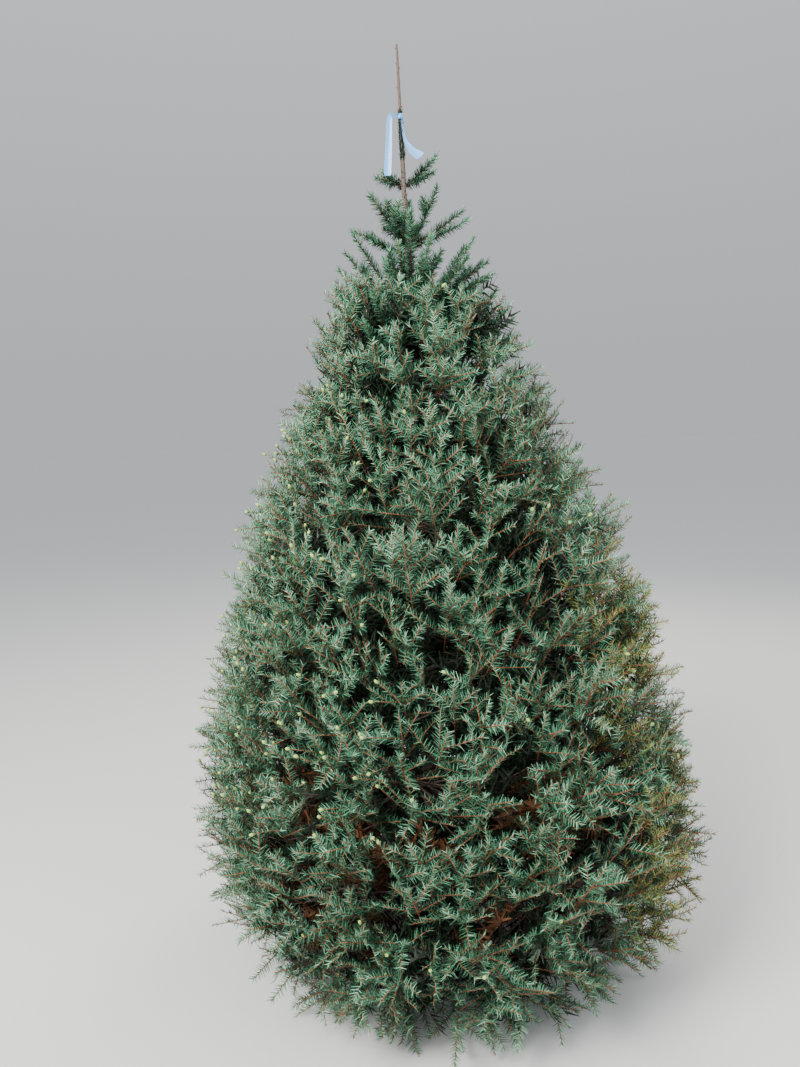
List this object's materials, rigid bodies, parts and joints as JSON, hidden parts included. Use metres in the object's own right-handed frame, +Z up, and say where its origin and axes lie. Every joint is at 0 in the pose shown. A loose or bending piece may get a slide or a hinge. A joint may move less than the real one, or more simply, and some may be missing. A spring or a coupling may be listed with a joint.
{
  "type": "spruce tree",
  "caption": "Young sheared spruce rooted in level ground: a dense rounded cone of upswept needled shoots down to the ground, a sparse top, a bare leader and a ribbon tied to it.",
  "frame": {"origin": "middle of the flat cut under the trunk, at ground level", "axes": "+Z up towards the leader; -Y towards the side from which the picture looks; +X to the picture's right"},
  "size_m": [1.5037, 1.4989, 2.66],
  "materials": {
    "bark": "rough grey-brown bark, with fine scales and needle scars",
    "needles": "deep blue-green needles with a faint sheen, on thin orange-brown twigs",
    "ribbon": "pale blue-white marking ribbon, limp and slightly translucent"
  },
  "bodies": {
    "root": {"trunk": "bark", "bough_1_1": "bark", "bough_1_2": "bark", "bough_1_3": "bark", "bough_1_4": "bark", "bough_1_5": "bark", "bough_2_1": "bark", "bough_2_2": "bark", "bough_2_3": "bark", "bough_2_4": "bark", "bough_2_5": "bark", "bough_3_1": "bark", "bough_3_2": "bark", "bough_3_3": "bark", "bough_3_4": "bark", "bough_3_5": "bark", "bough_4_1": "bark", "bough_4_2": "bark", "bough_4_3": "bark", "bough_4_4": "bark", "bough_5_1": "bark", "bough_5_2": "bark", "bough_5_3": "bark", "bough_5_4": "bark", "foliage_1_1": "needles", "foliage_1_2": "needles", "foliage_1_3": "needles", "foliage_1_4": "needles", "foliage_1_5": "needles", "foliage_2_1": "needles", "foliage_2_2": "needles", "foliage_2_3": "needles", "foliage_2_4": "needles", "foliage_2_5": "needles", "foliage_3_1": "needles", "foliage_3_2": "needles", "foliage_3_3": "needles", "foliage_3_4": "needles", "foliage_3_5": "needles", "foliage_4_1": "needles", "foliage_4_2": "needles", "foliage_4_3": "needles", "foliage_4_4": "needles", "foliage_5_1": "needles", "foliage_5_2": "needles", "foliage_5_3": "needles", "foliage_5_4": "needles", "foliage_6_1": "needles", "foliage_6_2": "needles", "foliage_6_3": "needles", "foliage_6_4": "needles", "foliage_7_1": "needles", "foliage_7_2": "needles", "foliage_7_3": "needles", "foliage_7_4": "needles", "foliage_8_1": "needles", "foliage_8_2": "needles", "ribbon": "ribbon"}
  },
  "joints": []
}
